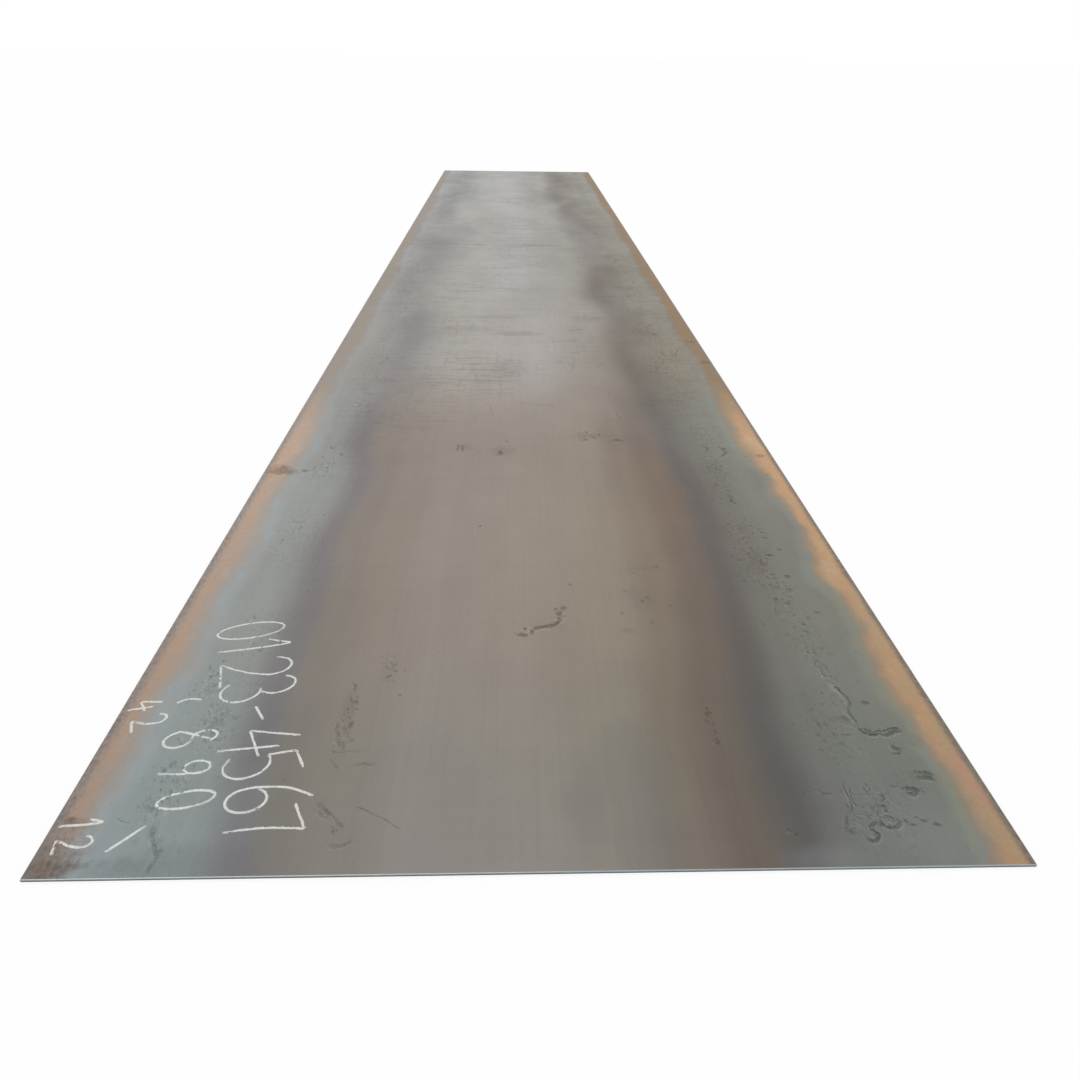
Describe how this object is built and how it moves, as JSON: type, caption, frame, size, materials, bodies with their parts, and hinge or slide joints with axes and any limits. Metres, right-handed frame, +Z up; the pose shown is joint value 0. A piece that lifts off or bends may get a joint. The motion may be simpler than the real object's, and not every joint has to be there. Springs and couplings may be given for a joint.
{
  "type": "steel plate",
  "caption": "Hot-rolled steel plate with rounded mill edges along its length and guillotine-sheared ends, lying flat.",
  "frame": {"origin": "centre of the bottom face", "axes": "+X across the plate, +Y along its length from the near sheared end to the far one, +Z up through its thickness"},
  "size_m": [1.5, 8.48, 0.0055],
  "materials": {
    "mill_scale_steel": "satin hot-rolled mill scale in grey-green and brown bands along the length, orange rust beside both long edges"
  },
  "bodies": {
    "root": {"plate": "mill_scale_steel"}
  },
  "joints": []
}
